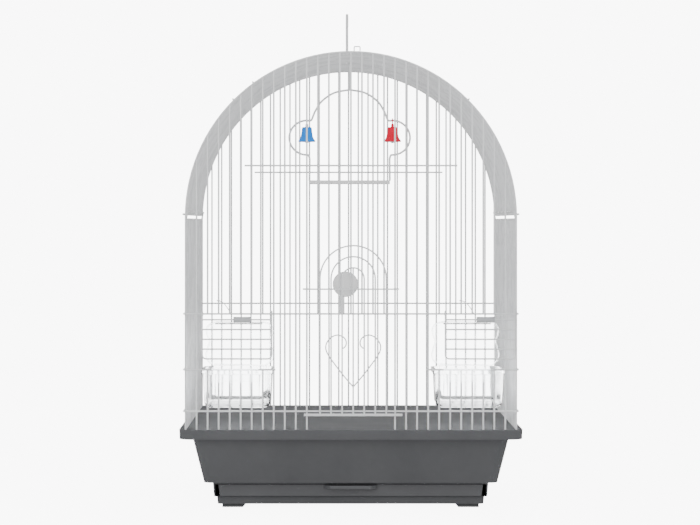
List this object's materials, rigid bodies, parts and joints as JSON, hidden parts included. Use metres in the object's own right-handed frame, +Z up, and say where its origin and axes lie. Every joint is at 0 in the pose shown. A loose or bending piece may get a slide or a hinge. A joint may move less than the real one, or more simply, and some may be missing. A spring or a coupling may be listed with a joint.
{
  "type": "domed wire bird cage",
  "caption": "Domed wire cage on a shallow moulded base with a slide-out litter drawer, sliding front door, hinged feeder doors, clear cups, swing with bells, perch and hanging hook.",
  "frame": {"origin": "on the floor under the middle of the base", "axes": "+X to the right seen from the front, +Y towards the back, +Z up; the door and drawer face -Y"},
  "size_m": [0.345, 0.28, 0.5128],
  "materials": {
    "white_wire": "gloss white paint on steel wire",
    "grey_base": "moulded dark grey plastic, satin",
    "grey_drawer": "moulded dark grey plastic, satin",
    "grey_sleeve": "pale grey plastic",
    "white_plastic": "white plastic",
    "clear_plastic": "clear moulded plastic",
    "blue_bell": "gloss blue enamel",
    "red_bell": "gloss red enamel",
    "clapper_steel": "plain steel"
  },
  "bodies": {
    "base": {"base_tub": "grey_base"},
    "drawer": {"litter_drawer": "grey_drawer"},
    "wire_top": {"front_panel": "white_wire", "back_panel": "white_wire", "left_side_panel": "white_wire", "right_side_panel": "white_wire", "roof_panel": "white_wire", "front_upper_rail": "white_wire", "front_waist_rail": "white_wire", "front_low_rail": "white_wire", "left_cup_rail": "white_wire", "right_cup_rail": "white_wire", "back_upper_rail": "white_wire", "back_waist_rail": "white_wire", "left_side_waist_rail": "white_wire", "left_side_cup_rail": "white_wire", "left_side_low_rail": "white_wire", "right_side_waist_rail": "white_wire", "right_side_cup_rail": "white_wire", "right_side_low_rail": "white_wire", "roof_wire_1": "white_wire", "roof_wire_2": "white_wire", "roof_wire_3": "white_wire", "roof_clip": "white_wire", "perch": "grey_sleeve", "perch_cap": "white_plastic"},
    "main_door": {"main_door": "white_wire", "door_heart": "white_wire"},
    "left_flap": {"left_feeder_door": "white_wire", "left_door_sleeve": "grey_sleeve"},
    "right_flap": {"right_feeder_door": "white_wire", "right_door_sleeve": "grey_sleeve"},
    "left_catch": {"left_catch_wire": "white_wire"},
    "right_catch": {"right_catch_wire": "white_wire"},
    "left_cup": {"left_feeder_cup": "clear_plastic", "left_feeder_hood": "clear_plastic"},
    "right_cup": {"right_feeder_cup": "clear_plastic", "right_feeder_hood": "clear_plastic"},
    "hook": {"hanging_hook": "white_wire"},
    "swing": {"swing_frame": "white_wire", "swing_perch": "white_plastic"},
    "blue_bell": {"blue_bell": "blue_bell"},
    "red_bell": {"red_bell": "red_bell"},
    "blue_clapper": {"blue_clapper": "clapper_steel"},
    "red_clapper": {"red_clapper": "clapper_steel"}
  },
  "joints": [
    {"name": "drawer_slide", "type": "slide", "parent": "base", "child": "drawer", "axis": [0, -1, 0], "range_m": [0, 0.2]},
    {"name": "wire_top_lift", "type": "slide", "parent": "base", "child": "wire_top", "axis": [0, 0, 1], "range_m": [0, 0.05]},
    {"name": "main_door_slide", "type": "slide", "parent": "wire_top", "child": "main_door", "axis": [0, 0, 1], "range_m": [0, 0.09]},
    {"name": "left_flap_hinge", "type": "hinge", "parent": "wire_top", "child": "left_flap", "pos_m": [-0.11413, -0.1335, 0.1985], "axis": [1, 0, 0], "range_deg": [-120, 0]},
    {"name": "right_flap_hinge", "type": "hinge", "parent": "wire_top", "child": "right_flap", "pos_m": [0.12912, -0.1335, 0.1985], "axis": [1, 0, 0], "range_deg": [-120, 0]},
    {"name": "left_catch_hinge", "type": "hinge", "parent": "wire_top", "child": "left_catch", "pos_m": [-0.1326, -0.1315, 0.211], "axis": [0, 0, 1], "range_deg": [-90, 0]},
    {"name": "right_catch_hinge", "type": "hinge", "parent": "wire_top", "child": "right_catch", "pos_m": [0.1105, -0.1315, 0.211], "axis": [0, 0, 1], "range_deg": [-90, 0]},
    {"name": "left_cup_lift", "type": "slide", "parent": "wire_top", "child": "left_cup", "axis": [0, 0, 1], "range_m": [0, 0.006]},
    {"name": "right_cup_lift", "type": "slide", "parent": "wire_top", "child": "right_cup", "axis": [0, 0, 1], "range_m": [0, 0.006]},
    {"name": "hook_hinge", "type": "hinge", "parent": "wire_top", "child": "hook", "pos_m": [-0.0028, 0, 0.46115], "axis": [1, 0, 0], "range_deg": [-65, 65]},
    {"name": "swing_hinge", "type": "hinge", "parent": "wire_top", "child": "swing", "pos_m": [0, 0, 0.46115], "axis": [1, 0, 0], "range_deg": [-30, 30]},
    {"name": "blue_bell_hinge", "type": "hinge", "parent": "swing", "child": "blue_bell", "pos_m": [-0.0457, 0, 0.399], "axis": [1, 0, 0], "range_deg": [-25, 25]},
    {"name": "red_bell_hinge", "type": "hinge", "parent": "swing", "child": "red_bell", "pos_m": [0.0457, 0, 0.399], "axis": [1, 0, 0], "range_deg": [-25, 25]},
    {"name": "blue_clapper_hinge", "type": "hinge", "parent": "blue_bell", "child": "blue_clapper", "pos_m": [-0.0457, 0, 0.3898], "axis": [1, 0, 0], "range_deg": [-15, 15]},
    {"name": "red_clapper_hinge", "type": "hinge", "parent": "red_bell", "child": "red_clapper", "pos_m": [0.0457, 0, 0.3898], "axis": [1, 0, 0], "range_deg": [-15, 15]}
  ]
}
